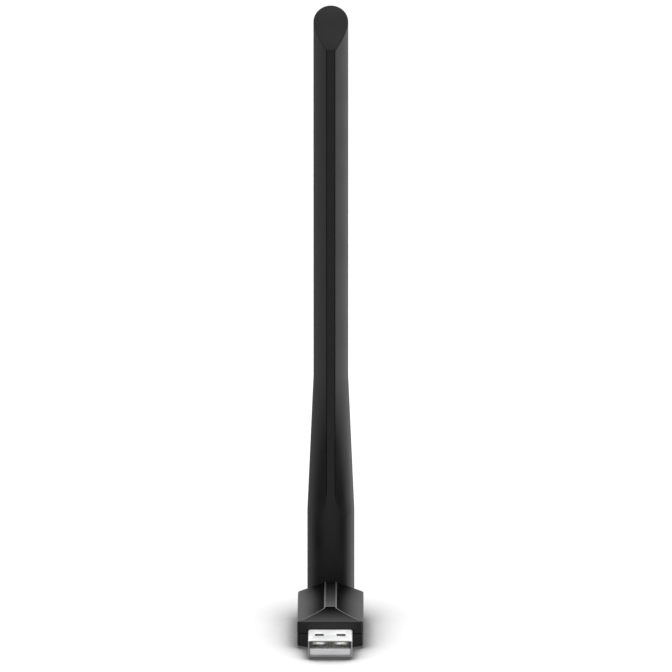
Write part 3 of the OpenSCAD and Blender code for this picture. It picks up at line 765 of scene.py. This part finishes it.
def buildShell(look):
    # folded sheet: the sheet's own outline, with a rolled lip at the mouth, carried round the plug
    print("making the plug's shell")
    low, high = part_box("usb_shell")
    halfHigh = (high.z - low.z) / 2
    wall, lip = look["wall"], look["lip"]
    turn = np.linspace(0, np.pi / 2, 5)
    outerLip = np.stack([lip * (1 - np.cos(turn)), low.y + lip * (1 - np.sin(turn))], -1)
    innerLip = np.stack([wall - lip * (1 - np.cos(turn)), low.y + lip * (1 - np.sin(turn))], -1)
    back = np.array([[wall, high.y], [0.0, high.y]])
    path = np.concatenate([outerLip, innerLip[::-1], back])
    rings = np.stack([roundedOutline(look["halfWide"] - inset, halfHigh - inset, look["corner"] - inset)
                      for inset in path[:, 0] * look["wallShare"]])
    points = np.stack([rings[..., 0], np.repeat(path[:, 1:], rings.shape[1], 1), rings[..., 1]], -1)
    faces = loopQuads(len(path), rings.shape[1], closedRows=True).tolist()
    shell = makeObject("plugShell", points, faces)
    fixNormals(shell)
    tabBack, tabTop = look["tabLow"] + look["tabLength"], look["tabHeight"] + look["tabDepth"]
    for side in (-1, 1):
        cut(shell, windowCutter(look, side))
        root, end = look["halfWide"] - look["tabRoot"], look["halfWide"] + look["tabReach"]
        inner, outer = sorted((side * root, side * end))
        tab = makeBox("tab", (inner, look["tabLow"], look["tabHeight"]), (outer, tabBack, tabTop))
        cut(shell, tab, "UNION")
    bevelSharp(shell, look["edge"], 2, 40)
    finishPiece(shell, "housing", finishes["plugSteel"], ["usb_shell"], 35)
    paintShell(shell, look, low.y + lip)


def faceVectors(mesh, name):
    # each face's normal or centre, as one array
    values = np.empty(len(mesh.polygons) * 3)
    mesh.polygons.foreach_get(name, values)
    return values.reshape(-1, 3)


def paintShell(shell, look, rimEnd):
    # painted shade: the cut edges in the windows get the dark steel, and the lip at the mouth gets the rim's
    # darker steel
    shell.data.materials.append(finishes["windowShadeSteel"])
    shell.data.materials.append(finishes["rimShadeSteel"])
    middle, normal = faceVectors(shell.data, "center"), faceVectors(shell.data, "normal")
    halfWide, halfLong = look["window"]
    place, spare = look["windowPlace"], look["windowSpare"]
    inWindow = (np.abs(np.abs(middle[:, 0]) - place[0]) < halfWide + spare) & (np.abs(normal[:, 2]) < 0.5)
    inWindow &= np.abs(middle[:, 1] - place[1]) < halfLong + spare
    kind = np.where(middle[:, 1] < rimEnd, 2, np.where(inWindow, 1, 0))
    shell.data.polygons.foreach_set("material_index", kind.astype(np.int32))


def fixNormals(piece):
    # doubles merged, then the faces turned outwards
    shape = bmesh.new()
    shape.from_mesh(piece.data)
    bmesh.ops.remove_doubles(shape, verts=shape.verts, dist=1e-7)
    bmesh.ops.recalc_face_normals(shape, faces=shape.faces)
    shape.to_mesh(piece.data)
    shape.free()


def bevelSharp(piece, width, segments, angle):
    # rounds every edge that turns by more than an angle
    step = piece.modifiers.new("soften", "BEVEL")
    step.width, step.segments, step.angle_limit = width, segments, math.radians(angle)
    step.limit_method = "ANGLE"
    applyAll(piece)


buildShell(plugLook)


# ---------- housing

housingLook = {
    "shoulder": 4.25 * mm, "ridgeHalf": 1.65 * mm,         # the CAD roof: its sides' height, half its ridge,
    "ridgeDrop": 0.25 * mm, "cadBevel": 0.5 * mm,          # and the ridge's bevels, down and inwards
    "ridgeBevel": 0.25 * mm, "hipLeast": 0.5 * mm,         # the narrower bevels here; the hips' least reach
    "noseLength": 6.2 * mm, "noseBulge": 0.5, "noseRows": 14,
    "edge": 0.13 * mm, "ridgeEdge": 0.05 * mm, "seamEdge": 0.04 * mm,        # roundings
    # extra rows over the roofs, and above which height
    "roofCuts": (2.8 * mm, 4 * mm, 5.2 * mm, 6.4 * mm, 7.6 * mm),
    "lengthCuts": tuple(np.arange(9, 33, 3) * mm), "roofAbove": 4.3 * mm,
    # sheen over the roofs, the front slope and the ridge
    "outsideAbove": 4.2 * mm, "roofFrom": 1.65 * mm, "roofOver": 7.35 * mm, "roofLeast": 0.05,
    "backEnd": 36 * mm, "backOver": 18 * mm, "backLeast": 0.2, "backCurve": 1.5,
    "slopeLeast": 0.01, "slopeMost": 2.0, "slopeCurve": 1.6,
    "ridgeSheen": 0.3, "ridgeDepth": 0.1 * mm, "ridgeReach": 2 * mm,
    # painted highlight along the ridge, paler towards the front
    "paintedLightBack": 33 * mm, "paintedLightOver": 27 * mm, "flatPaintedLight": 0.72, "bevelPaintedLight": 0.04,
    # where the outer edges are, as places in the housing
    "sideFrom": 8.3 * mm, "topDepth": 0.4 * mm, "underside": -2.3 * mm,
    "frontEnd": 0.3 * mm, "backStart": 32.7 * mm, "noseZone": 6.5 * mm, "noseLean": 0.2,
    "seamHeight": 1.2 * mm, "seamSpare": 0.1 * mm,
    "ridgeLine": (6.4 * mm, 32.5 * mm), "ridgeLineDepth": 0.3 * mm,
    # the holes, whose edges stay crisp, as low and high corners
    "plugHole": ((-6.3 * mm, -100 * mm, -2.5 * mm), (6.3 * mm, mm, 2.4 * mm)),
    "neckHole": ((-3.1 * mm, 32 * mm, -mm), (3.1 * mm, 100 * mm, 5.2 * mm)),
}


def noseRise(share, bulge):
    # the front slope's height along its length: s + bulge x s x (1 - s), which is steeper at the front
    return share + bulge * share * (1 - share)


def buildHousing(look):
    # the CAD halves' own shapes, merged, with the front slope bowed outwards and the edges rounded
    print("making the housing")
    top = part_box("upper_housing")[1]
    for name, node in (("housingTop", "upper_housing"), ("housingBottom", "lower_housing")):
        shape = bmesh.new()
        shape.from_mesh(frame["nodes"][node].data)
        bmesh.ops.remove_doubles(shape, verts=shape.verts, dist=1e-6)
        bmesh.ops.dissolve_limit(shape, angle_limit=math.radians(0.5), verts=shape.verts, edges=shape.edges)
        if node == "upper_housing":
            divideNose(shape, look)
        mesh = bpy.data.meshes.new(name)
        shape.to_mesh(mesh)
        shape.free()
        mesh.materials.clear()
        mesh.materials.append(finishes["housingPlastic"])
        mesh.materials.append(finishes["housingEdge"])
        piece = bpy.data.objects.new(name, mesh)
        bpy.context.scene.collection.objects.link(piece)
        if node == "upper_housing":
            bowNose(mesh, look, top)
            divideRoof(mesh, look)
        sheenAndPaintedLight(mesh, look, top.z)
        weighEdges(mesh, vertexPoints(mesh), look, top.z)
        rounding = piece.modifiers.new("edges", "BEVEL")
        rounding.limit_method, rounding.width, rounding.segments = "WEIGHT", look["edge"], 4
        rounding.use_clamp_overlap, rounding.material = False, 1
        applyAll(piece)
        smooth(piece, 28)
        level = piece.modifiers.new("normals", "WEIGHTED_NORMAL")
        level.keep_sharp, level.weight = True, 100
        applyAll(piece)
        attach(piece, "housing")
        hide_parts(node)


def divideNose(shape, look):
    # extra rows along the front slope, so that it can be bowed
    for y in np.linspace(0, look["noseLength"], look["noseRows"] + 1)[1:-1]:
        geometry = shape.verts[:] + shape.edges[:] + shape.faces[:]
        bmesh.ops.bisect_plane(shape, geom=geometry, dist=1e-7, plane_co=(0, y, 0), plane_no=(0, 1, 0))


def bowNose(mesh, look, top):
    # lifts the front slope from a plane to a parabola, and widens the ridge's flat
    ridge, shoulder, close = top.z, look["shoulder"], 0.002 * mm
    points = vertexPoints(mesh)
    share = points[:, 1] / look["noseLength"]
    plane = shoulder + (ridge - shoulder) * share
    onNose = (np.abs(points[:, 2] - plane) < close) & (share > 0.001) & (share < 0.999)
    raised = shoulder + (ridge - shoulder) * noseRise(np.clip(share, 0, 1), look["noseBulge"])
    # the hips stay on the roof, so they move inwards as the slope rises
    hipOld = hipAcross(plane, top, look, look["cadBevel"])
    hipNew = hipAcross(raised, top, look, look["ridgeBevel"])
    points[:, 0] = np.where(onNose, points[:, 0] * hipNew / hipOld, points[:, 0])
    points[:, 2] = np.where(onNose, raised, points[:, 2])
    # a wider flat leaves narrower, crisper bevels beside it
    flatHalf = look["ridgeHalf"] - look["cadBevel"] - 0.01 * mm
    onFlat = (points[:, 2] > ridge - close) & (np.abs(points[:, 0]) > flatHalf) & ~onNose
    widened = np.sign(points[:, 0]) * (look["ridgeHalf"] - look["ridgeBevel"])
    points[:, 0] = np.where(onFlat, widened, points[:, 0])
    mesh.vertices.foreach_set("co", points.ravel())


def vertexPoints(mesh):
    # the mesh's points as one array
    points = np.empty(len(mesh.vertices) * 3)
    mesh.vertices.foreach_get("co", points)
    return points.reshape(-1, 3)


def divideRoof(mesh, look):
    # extra rows over the roofs and the ridge, so that the sheen can change over them
    shape = bmesh.new()
    shape.from_mesh(mesh)
    cuts = [((side * x, 0, 0), (1, 0, 0)) for side in (1, -1) for x in look["roofCuts"]]
    cuts += [((0, y, 0), (0, 1, 0)) for y in look["lengthCuts"]]
    for place, along in cuts:
        shape.normal_update()
        roof = [face for face in shape.faces
                if face.normal.z > 0.5 and face.calc_center_median().z > look["roofAbove"]]
        # each edge and point once, always in the same order
        edges = list(dict.fromkeys(edge for face in roof for edge in face.edges))
        verts = list(dict.fromkeys(vert for face in roof for vert in face.verts))
        bmesh.ops.bisect_plane(shape, geom=verts + edges + roof, dist=0.02 * mm, plane_co=place,
                               plane_no=along)
    shape.to_mesh(mesh)
    shape.free()


def sheenAndPaintedLight(mesh, look, ridge):
    # sheen: the roofs are dull beside the ridge and rise to full at the outside by s(d) = 3d^2 - 2d^3,
    # duller towards the back near the ridge; the front slope rises from dull at its top by (1 - t)^1.6,
    # past full at its foot; the ridge's flat and bevels have one low value and the rest is full.
    # painted highlight: the ridge's flat and bevels get paler towards the front by t^2
    corners = np.empty(len(mesh.loops), int)
    mesh.loops.foreach_get("vertex_index", corners)
    x, y, z = vertexPoints(mesh)[corners].T
    counts = np.empty(len(mesh.polygons), int)
    mesh.polygons.foreach_get("loop_total", counts)
    across, forward, upward = np.repeat(faceVectors(mesh, "normal"), counts, 0).T
    across, outside = np.abs(across), z > look["outsideAbove"]
    onRoof = outside & (across > 0.2) & (upward > 0.85)
    onSlope = outside & (forward < -0.1) & (upward > 0.3)
    onFlat = outside & (upward > 0.99) & (z > ridge - look["ridgeDepth"])
    onBevel = outside & (across > 0.4) & (upward > 0.5) & (np.abs(x) < look["ridgeReach"])
    out = np.clip((np.abs(x) - look["roofFrom"]) / look["roofOver"], 0, 1)
    back = np.clip((look["backEnd"] - y) / look["backOver"], look["backLeast"], 1)
    back = back + (1 - back) * out ** look["backCurve"]
    roof = (look["roofLeast"] + (1 - look["roofLeast"]) * out * out * (3 - 2 * out)) * back
    rise = np.clip(1 - y / look["noseLength"], 0, 1) ** look["slopeCurve"]
    sheen = np.where(onRoof, roof, 1.0)
    sheen = np.where(onSlope, look["slopeLeast"] + look["slopeMost"] * rise, sheen)
    sheen = np.where(onFlat | onBevel, look["ridgeSheen"], sheen)
    towardsFront = np.clip((look["paintedLightBack"] - y) / look["paintedLightOver"], 0, 1) ** 2
    bevelPaintedLight = look["bevelPaintedLight"] + (1 - look["bevelPaintedLight"]) * towardsFront
    paintedLight = np.where(onBevel, bevelPaintedLight, np.where(onFlat, look["flatPaintedLight"] * towardsFront, 0.0))
    for name, values in (("sheen", sheen), ("paintedLight", paintedLight)):
        layer = mesh.attributes.new(name, "FLOAT", "CORNER")
        layer.data.foreach_set("value", values.astype(np.float32))


def hipAcross(height, top, look, bevel):
    # how far out the roof lies at a height: down the roof, and steeply over the ridge's bevel
    half, drop = look["ridgeHalf"], look["ridgeDrop"]
    fall = (top.z - drop - look["shoulder"]) / (top.x - half)
    roof = half + (top.z - drop - height) / fall
    overBevel = half - bevel * (height - top.z + drop) / drop
    return np.clip(np.where(height > top.z - drop, overBevel, roof), look["hipLeast"], top.x)


def inside(points, corners):
    # which points lie in a box
    low, high = np.array(corners)
    return ((points > low) & (points < high)).all(1)


def weighEdges(mesh, points, look, ridge):
    # how much each edge is rounded, as a share of the widest rounding: full on the outer edges that
    # turn by over 10 degrees, less along the ridge and the seam, and nothing round the holes and inside
    ends = np.empty(len(mesh.edges) * 2, int)
    mesh.edges.foreach_get("vertices", ends)
    ends = ends.reshape(-1, 2)
    middle = points[ends].mean(1)
    x, y, z = points.T
    outer = (np.abs(x) > look["sideFrom"]) | (z > ridge - look["topDepth"]) | (z < look["underside"])
    outer |= (y < look["noseZone"]) & (z > look["outsideAbove"] + look["noseLean"] * y)
    outer |= (y < look["frontEnd"]) | (y > look["backStart"])
    chosen = outer[ends].all(1) & (edgeTurns(mesh) > math.radians(10))
    seam = chosen & (np.abs(middle[:, 2] - look["seamHeight"]) < look["seamSpare"])
    ridgeFront, ridgeBack = look["ridgeLine"]
    ridgeLine = chosen & (middle[:, 2] > ridge - look["ridgeLineDepth"])
    ridgeLine &= (middle[:, 1] > ridgeFront) & (middle[:, 1] < ridgeBack)
    holes = inside(middle, look["plugHole"]) | inside(middle, look["neckHole"])
    share = np.where(chosen, 1.0, 0.0)
    share = np.where(ridgeLine, look["ridgeEdge"] / look["edge"], share)
    share = np.where(seam, look["seamEdge"] / look["edge"], share)
    share = np.where(holes, 0.0, share)
    weights = mesh.attributes.new("bevel_weight_edge", "FLOAT", "EDGE")
    weights.data.foreach_set("value", share.astype(np.float32))


def edgeTurns(mesh):
    # angle between the two faces at each edge
    shape = bmesh.new()
    shape.from_mesh(mesh)
    turns = np.array([edge.calc_face_angle(0.0) for edge in shape.edges])
    shape.free()
    return turns


buildHousing(housingLook)


# ---------- stage, light and camera

stageLook = {
    "floorSize": 6.0, "floorGap": 0.01 * mm, "floorTone": 0.62, "floorGlow": 0.09,
    # painted shadow on the floor: its tone goes darker round the object
    "contactShadowTone": 0.05, "contactShadowReach": 20 * mm, "contactShadowRange": (0.45, 0.96),    # darker round the object
    "skyDiffuse": 0.25, "topLight": 100.0, "topSize": 2.2, "topHeight": 2.4,
    # brightness round the horizon, from behind by the left to the front and by the right to behind
    "below": ((0.0, 0.12), (0.06, 0.22), (0.125, 0.38), (0.23, 0.52), (0.29, 0.32), (0.34, 0.05),
              (0.43, 0.04), (0.46, 0.38), (0.5, 0.58), (0.54, 0.38), (0.57, 0.04), (0.66, 0.05),
              (0.72, 1.0), (0.77, 1.3), (0.88, 1.2), (0.95, 0.3), (1.0, 0.12)),
    "over": ((0.0, 0.9), (0.15, 0.95), (0.3, 0.3), (0.5, 0.3), (0.7, 0.4), (0.85, 1.0), (1.0, 0.9)),
    "above": 0.34, "overhead": 1.3, "overheadTilt": 11.0, "overheadReach": (0.98, 0.91),
}
viewLook = {"lens": 1000.0, "sensor": 36.0, "elevation": 14.0, "azimuth": 0.21,
            "target": (1.555 * mm, 0.0, 84.65 * mm), "distance": 5.066}


def makeFloor(look):
    # colour = pale, with a painted shadow that makes it darker where the space above is closed in, and a
    # slight glow of its own; roughness = low to high with noise
    height = cadBox[0].z - look["floorGap"]
    bpy.ops.mesh.primitive_plane_add(size=look["floorSize"], location=(0, 0, height))
    floor = bpy.context.object
    floor.name = "floor"
    material, tree, shader = startMaterial("floorPaper", (0.9, 0.9, 0.9))
    open_ = useGroup(tree, "recess", Reach=look["contactShadowReach"], From=look["contactShadowRange"][0],
                     To=look["contactShadowRange"][1])
    tone = tintBetween(tree, open_.outputs["Mask"], (look["contactShadowTone"],) * 3, (look["floorTone"],) * 3)
    tree.links.new(tone, shader.inputs["Base Color"])
    noise = feed(tree, addNode(tree, "TexNoise"), Scale=300.0)
    tree.links.new(smoothRange(tree, noise.outputs[0], 0.3, 0.7, 0.7, 0.8), shader.inputs["Roughness"])
    shader.inputs["Specular IOR Level"].default_value = 0.0
    shader.inputs["Emission Color"].default_value = (1, 1, 1, 1)
    shader.inputs["Emission Strength"].default_value = look["floorGlow"]
    floor.data.materials.append(material)
    floor.visible_glossy = False


def ringOfLight(tree, place, levels):
    # brightness round the horizon as a ramp
    ramp = addNode(tree, "ValToRGB")
    ramp.color_ramp.interpolation = "EASE"
    stops = ramp.color_ramp.elements
    for index, (position, level) in enumerate(levels):
        stop = stops[index] if index < 2 else stops.new(position)
        stop.position = position
        stop.color = (level, level, level, 1)
    tree.links.new(place, ramp.inputs[0])
    return ramp.outputs["Color"]


def mixFloat(tree, mask, first, second):
    # a number that goes from the first to the second with a mask
    mix = addNode(tree, "Mix", data_type="FLOAT")
    give(tree, mix.inputs[0], mask)
    give(tree, mix.inputs[2], first)
    give(tree, mix.inputs[3], second)
    return mix.outputs[0]


def makeSky(look):
    # soft boxes around the object, as brightness by direction: one ring below the horizon, one
    # above it, an even tone higher up and a box overhead. only glossy rays see them; diffuse rays
    # see an even dim sky, and the camera an even white one
    world = bpy.data.worlds.new("studio")
    bpy.context.scene.world = world
    world.use_nodes = True
    tree = world.node_tree
    background = tree.nodes["Background"]
    direction = addNode(tree, "TexCoord").outputs["Generated"]
    split = addNode(tree, "SeparateXYZ")
    tree.links.new(direction, split.inputs[0])
    turn = math2(tree, "ARCTAN2", split.outputs["X"], math2(tree, "MULTIPLY", split.outputs["Y"], -1.0))
    place = math2(tree, "ADD", math2(tree, "DIVIDE", turn, 2 * math.pi), 0.5)
    height = split.outputs["Z"]
    level = mixFloat(tree, smoothRange(tree, height, -0.08, 0.08), ringOfLight(tree, place, look["below"]),
                     ringOfLight(tree, place, look["over"]))
    level = mixFloat(tree, smoothRange(tree, height, 0.45, 0.85), level, look["above"])
    overhead = addNode(tree, "VectorMath", operation="DOT_PRODUCT")
    tree.links.new(direction, overhead.inputs[0])
    lean = math.radians(look["overheadTilt"])
    overhead.inputs[1].default_value = (0, math.sin(lean), math.cos(lean))
    inner, outer = look["overheadReach"]
    nearBox = smoothRange(tree, overhead.outputs["Value"], outer, inner)
    level = mixFloat(tree, nearBox, level, look["overhead"])
    rays = addNode(tree, "LightPath")
    other = mixFloat(tree, rays.outputs["Is Diffuse Ray"], 1.0, look["skyDiffuse"])
    final = mixFloat(tree, rays.outputs["Is Glossy Ray"], other, level)
    tree.links.new(final, background.inputs["Strength"])
    background.inputs["Color"].default_value = (1, 1, 1, 1)


def makeLight(look):
    # one large soft box overhead, which glossy rays don't see
    light = bpy.data.lights.new("topBox", "AREA")
    light.shape, light.size, light.energy = "DISK", look["topSize"], look["topLight"]
    lamp = bpy.data.objects.new("topBox", light)
    lamp.location = (0, 0, look["topHeight"])
    lamp.visible_glossy = False
    bpy.context.scene.collection.objects.link(lamp)


def makeCamera(look):
    # a long lens aimed at the target from in front and a little above
    elevation, azimuth = math.radians(look["elevation"]), math.radians(look["azimuth"])
    away = Vector((math.sin(azimuth) * math.cos(elevation), -math.cos(azimuth) * math.cos(elevation),
                   math.sin(elevation)))
    data = bpy.data.cameras.new("camera")
    data.lens, data.sensor_width = look["lens"], look["sensor"]
    data.clip_start, data.clip_end = 0.1, 50.0
    camera = bpy.data.objects.new("camera", data)
    camera.location = Vector(look["target"]) + away * look["distance"]
    camera.rotation_euler = (-away).to_track_quat("-Z", "Y").to_euler()
    bpy.context.scene.collection.objects.link(camera)
    bpy.context.scene.camera = camera


print("setting the stage")
makeFloor(stageLook)
makeSky(stageLook)
makeLight(stageLook)
makeCamera(viewLook)
bpy.context.scene.view_settings.view_transform = "Standard"
